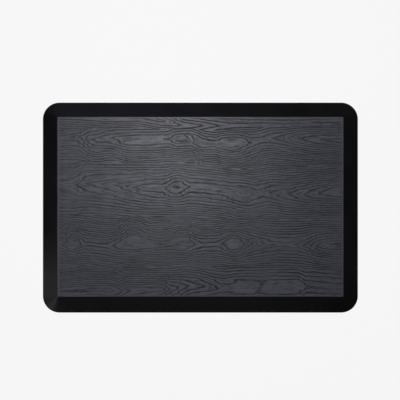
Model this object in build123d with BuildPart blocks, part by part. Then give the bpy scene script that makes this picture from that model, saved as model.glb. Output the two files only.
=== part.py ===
from build123d import *
import os

# An anti fatigue mat: an embossed wear sheet over a foam core, framed by a moulded bevelled border,
# on a non-slip base sheet with grip studs. Millimetres, +Z up, +X along the length, origin at the
# centre of the footprint on the floor.

os.makedirs("parts", exist_ok=True)

# Driving dimensions of the whole mat
mat_length = 914.4
mat_depth = 609.6
mat_height = 19.0

# Bevelled border
ramp_run = 47.5
lip_height = 3.0
lip_rounding = 1.2
panel_corner_radius = 1.0
ledge_width = 12.0
foot_width = 15.0

# Wear sheet
wear_thickness = 1.8
wear_proud = 0.5
wear_edge_rounding = 0.6

# Base sheet
base_thickness = 1.2
stud_height = 0.8
stud_diameter = 12.0
stud_pitch = 30.0
stud_edge_margin = 12.0

# Places that follow from them
corner_radius = ramp_run + panel_corner_radius
panel_length = mat_length - 2 * ramp_run
panel_depth = mat_depth - 2 * ramp_run
core_length = panel_length - 2 * ledge_width
core_depth = panel_depth - 2 * ledge_width
core_corner_radius = 6.0
base_length = mat_length - 2 * foot_width
base_depth = mat_depth - 2 * foot_width
base_corner_radius = corner_radius - foot_width
core_bottom = base_thickness + stud_height
core_top = mat_height - wear_thickness
border_height = mat_height - wear_proud
stud_columns = int((base_length - 2 * stud_edge_margin - stud_diameter) / stud_pitch) + 1
stud_rows = int((base_depth - 2 * stud_edge_margin - stud_diameter) / stud_pitch) + 1


# Wear sheet: a thin slab that lies on the core and the border's ledge and stands a little proud of the ramp
with BuildPart() as wear_sheet:
    with BuildSketch(Plane.XY.offset(core_top)):
        RectangleRounded(panel_length, panel_depth, panel_corner_radius)
    extrude(amount=wear_thickness)
    fillet(wear_sheet.faces().sort_by(Axis.Z)[-1].edges(), radius=wear_edge_rounding)

wear_sheet.part.label = "wear_sheet"
export_step(wear_sheet.part, "parts/wear_sheet.step")


# Bevelled border: a ramp ring whose corners are cones, so the slope is the same all the way round
with BuildPart() as bevel_border:
    with BuildSketch():
        RectangleRounded(mat_length, mat_depth, corner_radius)
    extrude(amount=lip_height)
    with BuildSketch(Plane.XY.offset(lip_height)):
        RectangleRounded(mat_length, mat_depth, corner_radius)
    with BuildSketch(Plane.XY.offset(border_height)):
        RectangleRounded(panel_length, panel_depth, panel_corner_radius)
    loft(ruled=True)

    # Round the top of the vertical lip, where the ramp starts
    lip_edges = bevel_border.edges().filter_by_position(Axis.Z, lip_height - 0.01, lip_height + 0.01)
    fillet(lip_edges, radius=lip_rounding)

    # Opening for the foam core
    with BuildSketch():
        RectangleRounded(core_length, core_depth, core_corner_radius)
    extrude(amount=mat_height, mode=Mode.SUBTRACT)

    # Ledge on which the edge of the wear sheet lies
    with BuildSketch(Plane.XY.offset(core_top)):
        RectangleRounded(panel_length, panel_depth, panel_corner_radius)
    extrude(amount=wear_thickness, mode=Mode.SUBTRACT)

    # Seat for the base sheet, inside the foot of the ring
    with BuildSketch():
        RectangleRounded(base_length, base_depth, base_corner_radius)
    extrude(amount=core_bottom, mode=Mode.SUBTRACT)

bevel_border.part.label = "bevel_border"
export_step(bevel_border.part, "parts/bevel_border.step")


# Foam core: the closed-cell slab that cushions, between the base sheet and the wear sheet
with BuildPart() as foam_core:
    with BuildSketch(Plane.XY.offset(core_bottom)):
        RectangleRounded(core_length, core_depth, core_corner_radius)
    extrude(amount=core_top - core_bottom)

foam_core.part.label = "foam_core"
export_step(foam_core.part, "parts/foam_core.step")


# Base sheet: fills the underside inside the border's foot, with round grip studs that reach the floor
with BuildPart() as base_sheet:
    with BuildSketch(Plane.XY.offset(stud_height)):
        RectangleRounded(base_length, base_depth, base_corner_radius)
    extrude(amount=base_thickness)
    with BuildSketch():
        with GridLocations(stud_pitch, stud_pitch, stud_columns, stud_rows):
            Circle(stud_diameter / 2)
    extrude(amount=stud_height)

base_sheet.part.label = "base_sheet"
export_step(base_sheet.part, "parts/base_sheet.step")
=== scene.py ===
"""The looks of an anti fatigue mat: an embossed wood grain top sheet in a smooth bevelled border."""

import math
from dataclasses import dataclass

import bpy
import numpy as np
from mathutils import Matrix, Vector


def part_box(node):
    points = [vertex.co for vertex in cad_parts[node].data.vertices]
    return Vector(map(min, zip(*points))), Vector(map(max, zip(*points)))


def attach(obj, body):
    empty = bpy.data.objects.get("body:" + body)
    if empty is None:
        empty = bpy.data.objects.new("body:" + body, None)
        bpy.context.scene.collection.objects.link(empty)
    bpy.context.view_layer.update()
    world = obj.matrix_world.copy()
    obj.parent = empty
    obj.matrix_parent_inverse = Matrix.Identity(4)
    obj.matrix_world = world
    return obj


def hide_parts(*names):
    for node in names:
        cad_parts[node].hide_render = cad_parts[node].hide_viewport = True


MM = 0.001

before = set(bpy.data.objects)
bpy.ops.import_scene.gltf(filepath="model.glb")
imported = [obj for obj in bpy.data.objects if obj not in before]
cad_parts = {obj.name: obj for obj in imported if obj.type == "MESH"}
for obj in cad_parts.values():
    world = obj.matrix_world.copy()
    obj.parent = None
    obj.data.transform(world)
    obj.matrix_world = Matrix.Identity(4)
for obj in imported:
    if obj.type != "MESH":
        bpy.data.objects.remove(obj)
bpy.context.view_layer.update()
wear_low, wear_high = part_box("wear_sheet")
border_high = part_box("bevel_border")[1]
core_low, core_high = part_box("foam_core")
base_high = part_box("base_sheet")[1]

# ---------------------------------------------------------------- grain pattern

RING_PITCH = 6.3 * MM          # between growth rings in the straight stretches
HEART_REACH = 30 * MM          # how far from a band's axis its wide rings go
AXIS_ROUNDING = 1.2 * MM       # blunts the tips of the arches, which lie on the axis
ARCH_CORE = 12 * MM            # the arches keep their full shape this far from the axis
ARCH_REACH = 85 * MM           # and have died away this far from it


@dataclass
class Band:
    """A row of arches and islands along the sheet. The places along it are in millimetres."""
    axis: tuple                # (place along the length, place across the depth)
    course: tuple              # (place along the length, rings at the axis)
    heart: float = 14.0        # millimetres between the rings nearest the axis
    lowest: tuple = ((-420, -9), (420, -9))  # (place along the length, least count there)
    lean: float = 0.0          # how far the places of the least count lean, along per across


# Along a course the count falls where the arches open to the right and rises where they close. A whole
# number is the tip of an arch, and a dip between two tips is an island. Where the least count is above
# the course, the sheet is plain
BANDS = (
    Band(axis=((-420, 264), (-180, 258), (-100, 243), (-40, 232), (70, 231), (420, 236)),
         course=((-420, -2.4), (-140, -2.5), (-101, -2), (-45, -1), (10, 0), (68, 1), (150, 1.4),
                 (420, 1.4)),
         heart=10),
    Band(axis=((-420, 196), (-345, 200), (-300, 192), (-257, 197), (-200, 190), (-93, 192), (-30, 195),
               (10, 182), (45, 180), (85, 179), (140, 182), (204, 195), (420, 190)),
         course=((-420, 2.6), (-360, 2.3), (-347, 2), (-330, 1), (-312, 0), (-285, -0.6), (-257, -1),
                 (-195, -2.2), (-110, -2.1), (-93, -2), (-60, -3.1), (10, -2.9), (42, -2.6), (65, -3.5),
                 (85, -3.9), (110, -3.6), (146, -2), (172, -1.6), (204, -2), (250, -3), (282, -4),
                 (330, -4.8), (420, -5.6)),
         lowest=((-105, -1.6), (-90, -2.55), (-44, -2.55), (-30, -1.75), (-12, -2.55),
                 (190, -2.55), (215, -9)),
         lean=-0.8),
    Band(axis=((-420, 60), (-363, 60), (-335, 66), (-247, 62), (-188, 56), (-100, 54), (-66, 55),
               (60, 46), (148, 35), (200, 43), (258, 37), (420, 42)),
         course=((-420, 4.6), (-363, 4), (-332, 3), (-245, 2), (-188, 1), (-150, 0.4), (-108, 0.3),
                 (-98, 0), (-82, -0.85), (-67, -1.12), (-52, -0.85), (-36, 0), (-28, 0.2), (82, 0.2),
                 (92, 0), (110, -0.45), (130, -0.5), (148, 0), (162, 0.35), (185, 0.3), (197, 0),
                 (255, -1), (298, -2), (340, -3), (420, -4.2)),
         heart=20,
         lowest=((-34, -9), (-28, 0.35), (76, 0.35), (84, -9))),
    Band(axis=((-420, -112), (-350, -106), (-250, -114), (-192, -103), (-120, -112), (-50, -105),
               (10, -110), (95, -108), (420, -112)),
         course=((-420, -1.5), (-397, -2), (-365, -4.0), (-343, -2), (-325, -1.4), (-270, -1.4),
                 (-250, -2), (-215, -3.5), (-192, -4.4), (-165, -3.4), (-130, -2.9), (-95, -2.9),
                 (-50, -4.0), (-13, -2), (12, -1.4), (40, -1.4), (62, -2), (92, -3.6), (125, -2),
                 (150, -1), (182, 0), (225, 0.6), (270, 0.4), (295, 0), (318, -1), (335, -2),
                 (365, -2.9), (420, -3.4)),
         lowest=((-420, -2.6), (420, -2.6))),
    Band(axis=((-420, -245), (-300, -238), (-207, -242), (-95, -238), (-28, -228), (58, -233),
               (100, -231), (290, -230), (420, -236)),
         course=((-420, -5.9), (-330, -6.3), (-262, -6.3), (-250, -6), (-228, -5), (-207, -4),
                 (-180, -3.7), (-125, -3.5), (-103, -3), (-88, -2), (-60, -1), (-28, 0), (18, 1),
                 (58, 2), (75, 2.2), (110, 1.6), (150, 1.6), (172, 1.8), (205, 1.5), (275, 1.4),
                 (302, 2.8), (420, 2.9)),
         lowest=((40, -9), (60, 1.5), (80, 2.4), (100, 2.75), (164, 2.75), (170, 3.25), (176, 2.75),
                 (292, 2.75), (312, 1.5)),
         lean=0.5),
)


def smooth_noise(x, y, cell_x, cell_y, seed):
    """Smooth noise from -1 to 1, with blobs about cell_x by cell_y in size."""
    column, row = x / cell_x, y / cell_y
    i, j = np.floor(column).astype(int), np.floor(row).astype(int)
    u, v = column - i, row - j
    u, v = u * u * (3 - 2 * u), v * v * (3 - 2 * v)
    i, j = i - i.min(), j - j.min()
    grid = np.random.default_rng(seed).uniform(-1, 1, (i.max() + 2, j.max() + 2))
    low = grid[i, j] * (1 - u) + grid[i + 1, j] * u
    high = grid[i, j + 1] * (1 - u) + grid[i + 1, j + 1] * u
    return low * (1 - v) + high * v


def smoothstep(low, high, value):
    t = np.clip((value - low) / (high - low), 0, 1)
    return t * t * (3 - 2 * t)


def bell(value):
    """1 at zero, falling away smoothly on both sides."""
    return np.exp(-(value**2))


def along(x, points):
    """The value at x metres of a smooth line through (place in mm, value) points.

    The line never overshoots: it is level at its peaks and dips, and flat beyond its ends.
    """
    places, values = np.array(points, float).T
    spans, rises = np.diff(places * MM), np.diff(values)
    slopes = rises / spans
    before, after = slopes[:-1], slopes[1:]
    level = before * after <= 0
    inner = np.where(level, 0, 2 * before * after / np.where(level, 1, before + after))
    tangents = np.concatenate([slopes[:1], inner, slopes[-1:]])
    k = np.clip(np.searchsorted(places * MM, x) - 1, 0, len(spans) - 1)
    t = np.clip((x - places[k] * MM) / spans[k], 0, 1)
    bend = (1 - t) * tangents[k] - t * tangents[k + 1] + (2 * t - 1) * slopes[k]
    return values[k] + t * rises[k] + t * (1 - t) * spans[k] * bend


def rings_from_axis(distance, heart):
    """How many rings lie between a band's axis and a point that far from it: few near the axis."""
    wide = HEART_REACH * np.tanh(distance / HEART_REACH)
    return (distance - wide) / RING_PITCH + wide / heart


def band_rings(band, x, y):
    """The growth ring at each point, counted from that band alone."""
    across = y - along(x, band.axis) * MM
    away = np.sqrt(across**2 + AXIS_ROUNDING**2)
    arch = np.clip((ARCH_REACH - away) / (ARCH_REACH - ARCH_CORE), 0, 1)
    rings = rings_from_axis(away, band.heart * MM) + along(x, band.course) * arch
    return np.maximum(rings, along(x - band.lean * across, band.lowest))


def ring_count(x, y):
    """The growth ring at each point of the sheet. Whole numbers are the grooves."""
    # The points are pushed about a little first, so that no line comes out regular
    sway = smooth_noise(x, y, 70 * MM, 25 * MM, 10)
    jitter = smooth_noise(x, y, 30 * MM, 3.5 * MM, 15)
    x = x + 5 * MM * sway + 5 * MM * jitter
    y = y + 2.0 * MM * smooth_noise(x, y, 150 * MM, 60 * MM, 11)
    y = y + 1.6 * MM * smooth_noise(x, y, 120 * MM, 13 * MM, 12)
    total = np.min([band_rings(band, x, y) for band in BANDS], axis=0)
    total = total + 0.10 * smooth_noise(x, y, 50 * MM, 8 * MM, 13)
    return total + 0.10 * smooth_noise(x, y, 12 * MM, 4 * MM, 14)


# ---------------------------------------------------------------- mesh helpers

def mesh_object(name, vertices, faces):
    mesh = bpy.data.meshes.new(name)
    mesh.from_pydata([tuple(v) for v in vertices], [], faces)
    mesh.polygons.foreach_set("use_smooth", [True] * len(mesh.polygons))
    mesh.update()
    obj = bpy.data.objects.new(name, mesh)
    bpy.context.scene.collection.objects.link(obj)
    return obj


def point_attribute(obj, name, values):
    layer = obj.data.attributes.new(name, "FLOAT", "POINT")
    layer.data.foreach_set("value", np.asarray(values, np.float32))


def grid_faces(nx, ny):
    """The faces of a grid of nx by ny points, and the points round its rim in order."""
    index = np.arange(nx * ny).reshape(nx, ny)
    quads = np.stack([index[:-1, :-1], index[1:, :-1], index[1:, 1:], index[:-1, 1:]], -1)
    rim = np.concatenate([index[:-1, 0], index[-1, :-1], index[:0:-1, -1], index[0, :0:-1]])
    return quads.reshape(-1, 4), rim


# ---------------------------------------------------------------- embossed sheet

RIM_ROUNDING = 0.6 * MM
PLAIN_MARGIN = 3.2 * MM        # the embossing fades in about this far from the sheet's edge
GROOVE_DEPTH = 0.38 * MM
GROOVE_HALF_WIDTH = 1.35 * MM  # where the rings are RING_PITCH apart
FINE_SHARE = 0.5               # how deep a fine groove between two wide rings is, of GROOVE_DEPTH
FINE_HALF_WIDTH = 0.9 * MM
FIBRE_DEPTH = 0.05 * MM
WAVE_DEPTH = 0.04 * MM         # of the slow waves over the whole sheet
FEWEST_RINGS = 1 / (18 * MM)   # per metre, so that no groove gets too wide
CLOSE_RINGS = 1 / (7 * MM)     # per metre: rings this close have no fine groove between them
WIDE_RINGS = 1 / (12 * MM)     # per metre: rings this far apart have one
SHEET_STEP_X = 4.1 * MM
SHEET_STEP_Y = 1.14 * MM


def sheet_lines(half, step):
    """Grid lines across the sheet, closer together over its rounded edge."""
    edge = half - RIM_ROUNDING * np.array([0, 0.12, 0.35, 0.65, 1.0])
    inner = half - PLAIN_MARGIN
    count = int(2 * inner / step) + 1
    return np.concatenate([-edge, np.linspace(-inner, inner, count), edge[::-1]])


def groove_strength(x, y, rings, tip, wide):
    """How strongly the grooves are pressed at each point, from 0 to 1."""
    along_rings = smooth_noise(x, rings * RING_PITCH, 90 * MM, 9 * MM, 21)
    strength = 0.72 - 0.15 * wide + 0.08 * tip
    strength = strength + (0.22 + 0.12 * wide) * along_rings
    strength = strength + 0.30 * smooth_noise(x, y, 24 * MM, 3.5 * MM, 24)
    # Deepest by the middle of the long edges, and weaker towards the short ends
    long_edges = smoothstep(150 * MM, 225 * MM, np.abs(y)) * bell((x - 50 * MM) / (170 * MM))
    strength = strength + 0.25 * long_edges
    short_ends = smoothstep(0.75, 1, np.abs(x) / wear_high.x)
    return np.clip(strength, 0.08, 1) * (1 - 0.2 * short_ends)


def make_embossed_sheet():
    half_x, half_y, top = wear_high.x, wear_high.y, wear_high.z
    xs, ys = sheet_lines(half_x, SHEET_STEP_X), sheet_lines(half_y, SHEET_STEP_Y)
    x, y = (a.ravel() for a in np.meshgrid(xs, ys, indexing="ij"))
    inset = np.minimum(half_x - np.abs(x), half_y - np.abs(y))
    embossed = smoothstep(0.6 * PLAIN_MARGIN, 1.6 * PLAIN_MARGIN, inset)

    rings = ring_count(x, y)
    slope_x, slope_y = np.gradient(rings.reshape(len(xs), len(ys)), xs, ys)
    density = np.maximum(np.hypot(slope_x, slope_y).ravel(), FEWEST_RINGS)
    tip = smoothstep(0.15, 0.5, np.abs(slope_x).ravel() / density)    # at the tips of the arches
    wide = smoothstep(CLOSE_RINGS, WIDE_RINGS, density)
    per_metre = (density / RING_PITCH) ** 0.5    # softened: the grooves widen less than the rings do
    strength = groove_strength(x, y, rings, tip, wide)
    fine = np.clip(0.45 + 0.5 * smooth_noise(x, y, 30 * MM, 5 * MM, 26), 0, 1) * wide

    phase = np.abs(rings - np.round(rings))
    groove = bell(phase / per_metre / GROOVE_HALF_WIDTH)
    between = bell((0.5 - phase) / per_metre / FINE_HALF_WIDTH)
    fibres = smooth_noise(x, rings * RING_PITCH, 30 * MM, 2.2 * MM, 22)
    edge = np.clip(RIM_ROUNDING - inset, 0, RIM_ROUNDING)
    drop = GROOVE_DEPTH * embossed * (strength * groove + FINE_SHARE * fine * between)
    drop += FIBRE_DEPTH * embossed * (1 + fibres)
    drop += WAVE_DEPTH * (1 + smooth_noise(x, y, 160 * MM, 120 * MM, 23))
    drop += RIM_ROUNDING - np.sqrt(RIM_ROUNDING**2 - edge**2)

    quads, rim = grid_faces(len(xs), len(ys))
    low = np.arange(len(rim)) + len(x)
    after = np.roll(low, -1)
    walls = np.stack([rim, low, after, np.roll(rim, -1)], -1)
    centre = np.full(len(rim), len(x) + len(rim))
    underside = np.stack([centre, after, low], -1)
    vertices = np.concatenate([
        np.stack([x, y, top - drop], -1),
        np.stack([x[rim], y[rim], np.full(len(rim), wear_low.z)], -1),
        [[0.0, 0.0, wear_low.z]],
    ])
    faces = quads.tolist() + walls.tolist() + underside.tolist()
    sheet = mesh_object("embossed_sheet", vertices, faces)
    for name, values, below in (
        ("ring", rings, 0),
        ("rings_per_metre", per_metre, 1 / RING_PITCH),
        ("emboss", embossed, 0),
        ("strength", strength, 0),
        ("fine", fine, 0),
    ):
        point_attribute(sheet, name, np.pad(values, (0, len(rim) + 1), constant_values=below))
    return sheet


# ---------------------------------------------------------------- bevelled border

LIP_HEIGHT = 3.0 * MM
LIP_ROUNDING = 1.2 * MM
TOE_ROUNDING = 0.4 * MM
CREST_ROUNDING = 0.5 * MM
FOOT_WIDTH = 15 * MM
LEDGE_WIDTH = 12 * MM
INNER_CORNER = 6 * MM          # radius of the opening's corners, under the sheet
CORNER_EXTRA = 1 * MM          # a ramp corner's radius is its distance from the sheet plus this
LEAST_CORNER = 0.3 * MM        # but no less than this
RAMP_FADE = 3 * MM             # the ramp's unevenness fades over this height at its top and bottom
RAMP_WAVE = 0.05 * MM
WORN_REACH = 0.9 * MM          # how far below the crest the edge is worn
RAMP_STEPS = 16
CORNER_STEPS = 24
SIDE_STEP = 8 * MM


def rounded_corner(before, corner, after, radius, steps=5):
    """Points of a small arc that rounds one corner of the profile."""
    before, corner, after = (np.array(p, float) for p in (before, corner, after))
    a, b = before - corner, after - corner
    a, b = a / np.linalg.norm(a), b / np.linalg.norm(b)
    half = math.acos(np.clip(a @ b, -1, 1)) / 2
    centre = corner + (a + b) / np.linalg.norm(a + b) * radius / math.sin(half)
    reach = radius / math.tan(half)
    start, end = corner + a * reach - centre, corner + b * reach - centre
    turn = math.atan2(start[0] * end[1] - start[1] * end[0], start @ end)
    points = []
    for k in range(steps + 1):
        c, s = math.cos(turn * k / steps), math.sin(turn * k / steps)
        points.append(tuple(centre + (c * start[0] - s * start[1], s * start[0] + c * start[1])))
    return points


def border_profile():
    """The border's section, all round: (distance outward from the sheet's edge, height) points."""
    run = border_high.x - wear_high.x
    crest, seat, core_seat = border_high.z, wear_low.z, base_high.z
    foot, lip, top = (run, 0.0), (run, LIP_HEIGHT), (0.0, crest)
    ledge = (0.0, seat)
    toe = rounded_corner((run - FOOT_WIDTH, 0.0), foot, lip, TOE_ROUNDING)
    lip_arc = rounded_corner(foot, lip, top, LIP_ROUNDING)
    crest_arc = rounded_corner(lip, top, ledge, CREST_ROUNDING)
    ramp_low, ramp_high = np.array(lip_arc[-1]), np.array(crest_arc[0])
    ramp = [tuple(ramp_low + (ramp_high - ramp_low) * k / RAMP_STEPS) for k in range(1, RAMP_STEPS)]
    inside = [
        ledge,
        (-LEDGE_WIDTH, seat),
        (-LEDGE_WIDTH, core_seat),
        (run - FOOT_WIDTH, core_seat),
        (run - FOOT_WIDTH, 0.0),
    ]
    return toe + lip_arc + ramp + crest_arc + inside


def ring_path(outward):
    """Points round the sheet, outward from its edge by that much. There are as many at any distance."""
    half_x, half_y = wear_high.x + outward, wear_high.y + outward
    least = INNER_CORNER if outward < -CORNER_EXTRA else LEAST_CORNER
    radius = max(outward + CORNER_EXTRA, least)
    centre_x, centre_y = half_x - radius, half_y - radius
    straight_x = int(2 * wear_high.x / SIDE_STEP)
    straight_y = int(2 * wear_high.y / SIDE_STEP)
    points = []
    for quarter in range(4):
        sign_x = 1 if quarter in (0, 3) else -1
        sign_y = 1 if quarter in (0, 1) else -1
        start = np.array([sign_x * centre_x, sign_y * centre_y])
        for k in range(CORNER_STEPS + 1):
            angle = math.pi / 2 * (quarter + k / CORNER_STEPS)
            points.append(start + radius * np.array([math.cos(angle), math.sin(angle)]))
        count = straight_x if quarter in (0, 2) else straight_y
        turn = math.pi / 2 * (quarter + 1)
        heading = np.array([-math.sin(turn), math.cos(turn)])
        length = 2 * (centre_x if quarter in (0, 2) else centre_y)
        for k in range(1, count):
            points.append(points[-k] + heading * length * k / count)
    return np.array(points)


def make_moulded_border():
    profile = border_profile()
    rows = []
    for outward, height in profile:
        path = ring_path(outward)
        rows.append(np.column_stack([path, np.full(len(path), height)]))
    per_row = len(rows[0])
    vertices = np.concatenate(rows)
    x, y, z = vertices.T
    above_lip = smoothstep(LIP_HEIGHT, LIP_HEIGHT + RAMP_FADE, z)
    below_crest = smoothstep(border_high.z, border_high.z - RAMP_FADE, z)
    outer = np.maximum(np.abs(x) - wear_high.x, np.abs(y) - wear_high.y) > CREST_ROUNDING
    waves = smooth_noise(x, y, 70 * MM, 70 * MM, 31) + 0.5 * smooth_noise(x, y, 24 * MM, 24 * MM, 32)
    z -= np.where(outer, RAMP_WAVE * (above_lip * below_crest) * (1.5 + waves), 0)
    faces = []
    for k in range(len(profile)):
        a, b = k * per_row, (k + 1) % len(profile) * per_row
        for i in range(per_row):
            j = (i + 1) % per_row
            faces.append((a + i, a + j, b + j, b + i))
    border = mesh_object("moulded_border", vertices, faces)
    point_attribute(border, "edge", bell((z - border_high.z) / WORN_REACH))
    return border


# ---------------------------------------------------------------- foam core

CORE_CLEARANCE = 0.1 * MM
CORE_CHAMFER = 1.5 * MM
CORE_LINES = (61, 39)          # grid lines across the length and across the depth
SKIN_WAVE = 0.08 * MM


def make_foam_slab():
    half_x, half_y = core_high.x - CORE_CLEARANCE, core_high.y - CORE_CLEARANCE
    edge_x, edge_y = half_x - CORE_CHAMFER, half_y - CORE_CHAMFER
    xs = np.concatenate([[-half_x], np.linspace(-edge_x, edge_x, CORE_LINES[0]), [half_x]])
    ys = np.concatenate([[-half_y], np.linspace(-edge_y, edge_y, CORE_LINES[1]), [half_y]])
    x, y = (a.ravel() for a in np.meshgrid(xs, ys, indexing="ij"))
    quads, rim = grid_faces(len(xs), len(ys))
    inset = np.minimum(half_x - np.abs(x), half_y - np.abs(y))
    chamfer = np.where(inset < 0.5 * CORE_CHAMFER, CORE_CHAMFER, 0)
    skin = SKIN_WAVE * (1 + smooth_noise(x, y, 30 * MM, 30 * MM, 41))
    top = core_high.z - CORE_CLEARANCE - chamfer - skin
    bottom = core_low.z + CORE_CLEARANCE + chamfer + skin
    vertices = np.concatenate([np.stack([x, y, top], -1), np.stack([x, y, bottom], -1)])
    low = quads[:, ::-1] + len(x)
    walls = np.stack([rim, rim + len(x), np.roll(rim, -1) + len(x), np.roll(rim, -1)], -1)
    return mesh_object("foam_slab", vertices, quads.tolist() + low.tolist() + walls.tolist())


# ---------------------------------------------------------------- materials

class Graph:
    """A small helper that adds nodes to one material and links them."""

    def __init__(self, name):
        self.material = bpy.data.materials.new(name)
        self.material.use_nodes = True
        self.nodes = self.material.node_tree.nodes
        self.links = self.material.node_tree.links
        self.surface = self.nodes["Principled BSDF"]

    def feed(self, socket, value):
        if isinstance(value, bpy.types.NodeSocket):
            self.links.new(value, socket)
        else:
            socket.default_value = value

    def math(self, operation, a, b=0.0, clamp=False):
        node = self.nodes.new("ShaderNodeMath")
        node.operation = operation
        node.use_clamp = clamp
        self.feed(node.inputs[0], a)
        self.feed(node.inputs[1], b)
        return node.outputs[0]

    def product(self, first, *others):
        for other in others:
            first = self.math("MULTIPLY", first, other)
        return first

    def attribute(self, name):
        node = self.nodes.new("ShaderNodeAttribute")
        node.attribute_name = name
        return node.outputs["Fac"]

    def object_place(self):
        return self.nodes.new("ShaderNodeTexCoord").outputs["Object"]

    def along_rings(self, ring, length, rings):
        """Coordinates that count cells, of that length along the sheet and that many rings across."""
        parts = self.nodes.new("ShaderNodeSeparateXYZ")
        self.links.new(self.object_place(), parts.inputs[0])
        cells = self.nodes.new("ShaderNodeCombineXYZ")
        self.links.new(self.math("DIVIDE", parts.outputs["X"], length), cells.inputs["X"])
        self.links.new(self.math("DIVIDE", ring, rings), cells.inputs["Y"])
        return cells.outputs[0]

    def from_groove(self, ring):
        """How far a point is from the nearest whole ring: metres, where they are RING_PITCH apart."""
        return self.math("DIVIDE", self.math("PINGPONG", ring, 0.5), self.attribute("rings_per_metre"))

    def noise_at(self, cells, detail=2.0, roughness=0.5):
        """Noise from 0 to 1 whose blobs are about one cell in size."""
        node = self.nodes.new("ShaderNodeTexNoise")
        node.inputs["Scale"].default_value = 1.0
        node.inputs["Detail"].default_value = detail
        node.inputs["Roughness"].default_value = roughness
        self.links.new(cells, node.inputs["Vector"])
        return node.outputs["Fac"]

    def noise(self, cell, detail=2.0, roughness=0.5):
        """Noise from 0 to 1 whose blobs are about cell = (x, y, z) metres in size."""
        stretch = self.nodes.new("ShaderNodeMapping")
        stretch.inputs["Scale"].default_value = [1 / c for c in cell]
        self.links.new(self.object_place(), stretch.inputs["Vector"])
        return self.noise_at(stretch.outputs[0], detail, roughness)

    def spread(self, value, from_low, from_high, to_low=0.0, to_high=1.0, smooth=False):
        """The value mapped from one range to another, and kept within it."""
        node = self.nodes.new("ShaderNodeMapRange")
        node.interpolation_type = "SMOOTHSTEP" if smooth else "LINEAR"
        self.feed(node.inputs["Value"], value)
        for socket, number in zip(node.inputs[1:5], (from_low, from_high, to_low, to_high)):
            socket.default_value = number
        return node.outputs[0]

    def blend(self, share, a, b):
        node = self.nodes.new("ShaderNodeMix")
        node.data_type = "RGBA"
        self.feed(node.inputs[0], share)
        for socket, colour in ((node.inputs[6], a), (node.inputs[7], b)):
            self.feed(socket, (*colour, 1) if isinstance(colour, tuple) else colour)
        return node.outputs[2]

    def bump(self, height, distance, strength=1.0, below=None):
        node = self.nodes.new("ShaderNodeBump")
        node.inputs["Strength"].default_value = strength
        node.inputs["Distance"].default_value = distance
        self.links.new(height, node.inputs["Height"])
        if below is not None:
            self.links.new(below, node.inputs["Normal"])
        return node.outputs[0]

    def finish(self, colour, roughness, normal, specular=0.5):
        self.feed(self.surface.inputs["Base Color"], colour)
        self.feed(self.surface.inputs["Roughness"], roughness)
        self.feed(self.surface.inputs["Normal"], normal)
        self.surface.inputs["Specular IOR Level"].default_value = specular
        return self.material


VINYL_DARK = (0.125, 0.128, 0.155)
VINYL_LIGHT = (0.144, 0.148, 0.178)
# a painted highlight on the ridges beside the grooves
VINYL_RIDGE_HIGHLIGHT = (0.200, 0.205, 0.243)
# the painted shade in the grooves, fine grooves, pores and ticks
VINYL_GROOVE_SHADE = (0.022, 0.022, 0.027)
RUBBER_DARK = (0.0030, 0.0028, 0.0042)
RUBBER_LIGHT = (0.0046, 0.0043, 0.0060)
RUBBER_WORN = (0.016, 0.016, 0.017)
# painted shade in the hollows of the foam's cells
FOAM_CELL_SHADE = (0.022, 0.022, 0.024)
FOAM_WALL = (0.045, 0.045, 0.048)
GRIP_CLEAN = (0.013, 0.013, 0.014)
GRIP_DUSTY = (0.026, 0.026, 0.026)


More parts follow.
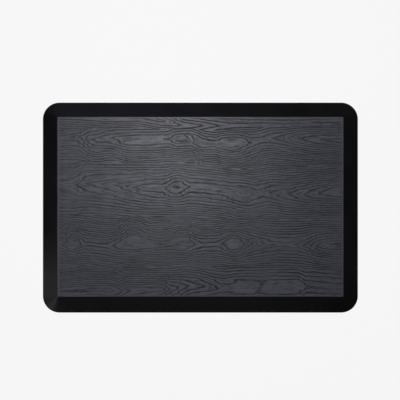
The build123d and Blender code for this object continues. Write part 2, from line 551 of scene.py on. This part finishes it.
def embossed_vinyl():
    """Charcoal vinyl: painted shade in the grooves, fine grooves, pores and ticks, a painted highlight
    on the ridges beside the grooves, and a fine matte tooth.
    """
    g = Graph("embossed_vinyl")
    ring = g.attribute("ring")
    emboss = g.attribute("emboss")
    strength = g.product(g.attribute("strength"), emboss)

    # Painted shade along the grooves at the whole rings and along the fine grooves between wide rings,
    # with a painted highlight on the ridges beside them
    away = g.from_groove(ring)
    groove = g.product(g.spread(away, 0.2 * MM, 2.5 * MM, 1.0, 0.0, smooth=True), strength)
    highlight_start = g.spread(away, 1.7 * MM, 3.1 * MM, smooth=True)
    highlight_end = g.spread(away, 4.0 * MM, 8.0 * MM, 1.0, 0.0, smooth=True)
    ridge_highlight = g.product(highlight_start, strength, highlight_end)
    halfway = g.from_groove(g.math("ADD", ring, 0.5))
    between = g.spread(halfway, 0.2 * MM, 1.8 * MM, 1.0, 0.0, smooth=True)
    between = g.product(between, g.product(g.attribute("fine"), emboss))

    # Fibres along the rings, soft streaks, and short ticks along the sheet; the pores and ticks get
    # painted shade
    fibres = g.noise_at(g.along_rings(ring, 24 * MM, 0.35), detail=3, roughness=0.6)
    streaks = g.noise((34 * MM, 4.2 * MM, 34 * MM), detail=2, roughness=0.6)
    pores = g.spread(g.math("MAXIMUM", fibres, streaks), 0.52, 0.72, smooth=True)
    pores = g.product(pores, emboss)
    ticks = g.spread(g.noise((11 * MM, 0.7 * MM, 11 * MM), detail=1), 0.59, 0.64, smooth=True)
    ticks = g.product(ticks, g.spread(away, 1.0 * MM, 6.0 * MM, 1.0, 0.4), emboss)

    patches = g.noise((160 * MM, 40 * MM, 160 * MM), detail=2)
    tooth = g.noise((0.45 * MM,) * 3, detail=1)

    # Each kind of mark has its own share of painted shade
    painted_shade = g.math("ADD", groove, g.product(between, 0.75))
    painted_shade = g.math("ADD", painted_shade, g.product(pores, 0.3))
    painted_shade = g.math("ADD", painted_shade, g.product(ticks, 0.42), clamp=True)
    plain = g.blend(g.spread(patches, 0.3, 0.7), VINYL_DARK, VINYL_LIGHT)
    # Painted highlight: the ridges beside the grooves are lightened, standing in for the light they
    # catch
    plain = g.blend(g.product(ridge_highlight, 0.6), plain, VINYL_RIDGE_HIGHLIGHT)
    # Painted shade: the grooves, fine grooves, pores and ticks are darkened here, standing in for the
    # shade that falls in them
    colour = g.blend(painted_shade, plain, VINYL_GROOVE_SHADE)
    roughness = g.math("ADD", g.spread(patches, 0.3, 0.7, 0.37, 0.42), g.product(painted_shade, 0.18))
    relief = g.bump(g.product(painted_shade, -1.0), 0.12 * MM)
    relief = g.bump(fibres, 0.10 * MM, below=relief)
    relief = g.bump(tooth, 0.02 * MM, below=relief)
    return g.finish(colour, roughness, relief)


def moulded_rubber():
    """Smooth black rubber with a faint pebble, a soft cast sheen and a slightly greyed crest."""
    g = Graph("moulded_rubber")
    pebble = g.noise((1.3 * MM,) * 3, detail=2)
    cast = g.noise((60 * MM,) * 3, detail=3)
    scuffs = g.noise((5 * MM,) * 3, detail=3, roughness=0.65)
    worn = g.product(g.attribute("edge"), g.spread(scuffs, 0.4, 0.65, 0.25, 1.0))
    colour = g.blend(g.spread(cast, 0.35, 0.65), RUBBER_DARK, RUBBER_LIGHT)
    colour = g.blend(g.product(worn, 0.5), colour, RUBBER_WORN)
    roughness = g.math("ADD", g.spread(cast, 0.3, 0.7, 0.30, 0.37), g.product(worn, 0.12))
    return g.finish(colour, roughness, g.bump(pebble, 0.03 * MM), specular=0.45)


def closed_cell_foam():
    """Dark grey foam: small closed cells with painted shade in their hollows, and a slightly mottled
    skin.
    """
    g = Graph("closed_cell_foam")
    cells = g.nodes.new("ShaderNodeTexVoronoi")
    cells.inputs["Scale"].default_value = 1 / (1.1 * MM)
    g.links.new(g.object_place(), cells.inputs["Vector"])
    mottle = g.noise((20 * MM,) * 3, detail=3)
    wall = g.spread(cells.outputs["Distance"], 0.2, 0.7, smooth=True)
    # Painted shade: the hollow middles of the cells are darker, standing in for the shade in them
    colour = g.blend(wall, FOAM_CELL_SHADE, FOAM_WALL)
    roughness = g.spread(mottle, 0.3, 0.7, 0.82, 0.95)
    return g.finish(colour, roughness, g.bump(wall, 0.25 * MM), specular=0.25)


def grip_rubber():
    """Matte black rubber of the underside, with a fine moulded tooth and dusty scuffs."""
    g = Graph("grip_rubber")
    tooth = g.noise((0.8 * MM,) * 3, detail=3, roughness=0.6)
    scuffs = g.noise((35 * MM, 12 * MM, 35 * MM), detail=4, roughness=0.6)
    colour = g.blend(g.spread(scuffs, 0.4, 0.75), GRIP_CLEAN, GRIP_DUSTY)
    roughness = g.spread(scuffs, 0.3, 0.7, 0.62, 0.76)
    return g.finish(colour, roughness, g.bump(tooth, 0.06 * MM), specular=0.35)


# ---------------------------------------------------------------- pieces

def place(piece, material, node):
    piece.data.materials.clear()
    piece.data.materials.append(material)
    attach(piece, "root")
    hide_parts(node)
    return piece


place(make_embossed_sheet(), embossed_vinyl(), "wear_sheet")
place(make_moulded_border(), moulded_rubber(), "bevel_border")
foam_slab = place(make_foam_slab(), closed_cell_foam(), "foam_core")

base_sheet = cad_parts["base_sheet"]
base_sheet.data.materials.clear()
base_sheet.data.materials.append(grip_rubber())

# ---------------------------------------------------------------- floor, light and camera

STUDIO_RADIUS = 30.0
FLOOR_GLOW = 0.892
BACKDROP_GLOW = FLOOR_GLOW + 0.005
FLOOR_ALBEDO = 0.10
FLOOR_GAP = 0.05 * MM          # keeps the floor clear of the mat's own bottom faces


def glowing(name, glow, albedo):
    """A pale surface that mostly glows, so that it stays even, and takes a faint contact shadow."""
    material = bpy.data.materials.new(name)
    material.use_nodes = True
    nodes, links = material.node_tree.nodes, material.node_tree.links
    nodes.remove(nodes["Principled BSDF"])
    light = nodes.new("ShaderNodeEmission")
    light.inputs["Color"].default_value = (1, 1, 1, 1)
    light.inputs["Strength"].default_value = glow
    paint = nodes.new("ShaderNodeBsdfDiffuse")
    paint.inputs["Color"].default_value = (albedo, albedo, albedo, 1)
    both = nodes.new("ShaderNodeAddShader")
    links.new(light.outputs[0], both.inputs[0])
    links.new(paint.outputs[0], both.inputs[1])
    links.new(both.outputs[0], nodes["Material Output"].inputs["Surface"])
    return material


def disc(name, radius, height, steps=96):
    turns = [2 * math.pi * k / steps for k in range(steps)]
    vertices = [(radius * math.cos(t), radius * math.sin(t), height) for t in turns]
    return mesh_object(name, vertices, [tuple(range(steps))])


def dome(name, radius, steps=64, rows=24):
    """A half sphere, with its rim just below the floor, that stands behind everything."""
    vertices, faces = [], []
    for j in range(rows + 1):
        rise = math.pi / 2 * (j / rows * 1.02 - 0.02)
        for i in range(steps):
            turn = 2 * math.pi * i / steps
            ring = radius * math.cos(rise)
            vertices.append((ring * math.cos(turn), ring * math.sin(turn), radius * math.sin(rise)))
    for j in range(rows):
        for i in range(steps):
            k = (i + 1) % steps
            faces.append((j * steps + i, (j + 1) * steps + i, (j + 1) * steps + k, j * steps + k))
    return mesh_object(name, vertices, faces)


floor = disc("floor", STUDIO_RADIUS, -FLOOR_GAP)
floor.data.materials.append(glowing("pale_floor", FLOOR_GLOW, FLOOR_ALBEDO))
backdrop = dome("backdrop", STUDIO_RADIUS)
backdrop.data.materials.append(glowing("pale_backdrop", BACKDROP_GLOW, 0.0))
backdrop.visible_diffuse = False
backdrop.visible_glossy = False
backdrop.visible_shadow = False


def softbox(name, position, aim, width, depth, power, colour=(1, 1, 1)):
    light = bpy.data.lights.new(name, "AREA")
    light.shape = "RECTANGLE"
    light.size, light.size_y = width, depth
    light.energy = power
    light.color = colour
    obj = bpy.data.objects.new(name, light)
    obj.location = position
    obj.rotation_mode = "QUATERNION"
    obj.rotation_quaternion = (Vector(aim) - Vector(position)).to_track_quat("-Z", "Y")
    obj.visible_camera = False
    bpy.context.scene.collection.objects.link(obj)


softbox("overhead", (-0.135, 0.65, 1.60), (-0.01, 0.09, 0), 0.5, 0.4, 9.5, (0.97, 0.98, 1.0))
softbox("rear", (-0.72, 2.3, 1.5), (0, 0.2, 0), 1.5, 0.6, 0.76, (0.69, 0.61, 1.0))
softbox("rear_left", (-1.75, 2.1, 1.55), (-0.4, 0.2, 0), 0.5, 0.5, 0.25)
softbox("left", (-1.17, -0.28, 0.53), (-0.43, -0.22, 0.01), 0.25, 0.4, 0.225)
softbox("front_left", (-1.9, -1.3, 1.9), (-0.4, -0.2, 0), 0.7, 0.7, 3.35)
softbox("front", (0, -2.1, 2.2), (0, -0.2, 0), 1.8, 0.8, 0.78, (0.93, 0.92, 1.0))

# The sky is dim, with a brighter band along the horizon for the low views
HORIZON_GLOW = 0.27
SKY_GLOW = 0.033
BAND_LOW = math.sin(math.radians(2))       # the glow starts to fade this high up
BAND_HIGH = math.sin(math.radians(24))     # and has faded to the sky's here


def make_sky():
    world = bpy.data.worlds.new("studio")
    world.use_nodes = True
    nodes, links = world.node_tree.nodes, world.node_tree.links
    background = nodes["Background"]
    direction = nodes.new("ShaderNodeSeparateXYZ")
    fade = nodes.new("ShaderNodeMapRange")
    fade.interpolation_type = "SMOOTHSTEP"
    for socket, number in zip(fade.inputs[1:5], (BAND_LOW, BAND_HIGH, HORIZON_GLOW, SKY_GLOW)):
        socket.default_value = number
    links.new(nodes.new("ShaderNodeTexCoord").outputs["Generated"], direction.inputs[0])
    links.new(direction.outputs["Z"], fade.inputs["Value"])
    background.inputs["Color"].default_value = (0.95, 0.97, 1.0, 1)
    links.new(fade.outputs[0], background.inputs["Strength"])
    return world


bpy.context.scene.world = make_sky()
bpy.context.scene.view_settings.view_transform = "Standard"

# The camera looks straight down from in front of the mat's middle, and its shift brings the mat back
# into the frame, so that the front ramp looks wider than the rear one and the sides stay parallel
CAMERA_HEIGHT = 1.30
VIEW_WIDTH = 1.1634            # of the floor, across the frame
SENSOR_WIDTH = 36.0            # millimetres
SHIFT_UP = 0.18                # of the frame's width
VIEW_CENTRE = (-1.1 * MM, 22.5 * MM)

camera_data = bpy.data.cameras.new("camera")
camera_data.sensor_width = SENSOR_WIDTH
camera_data.lens = SENSOR_WIDTH * CAMERA_HEIGHT / VIEW_WIDTH
camera_data.shift_y = SHIFT_UP
camera = bpy.data.objects.new("camera", camera_data)
camera.location = (VIEW_CENTRE[0], VIEW_CENTRE[1] - SHIFT_UP * VIEW_WIDTH, CAMERA_HEIGHT)
bpy.context.scene.collection.objects.link(camera)
bpy.context.scene.camera = camera
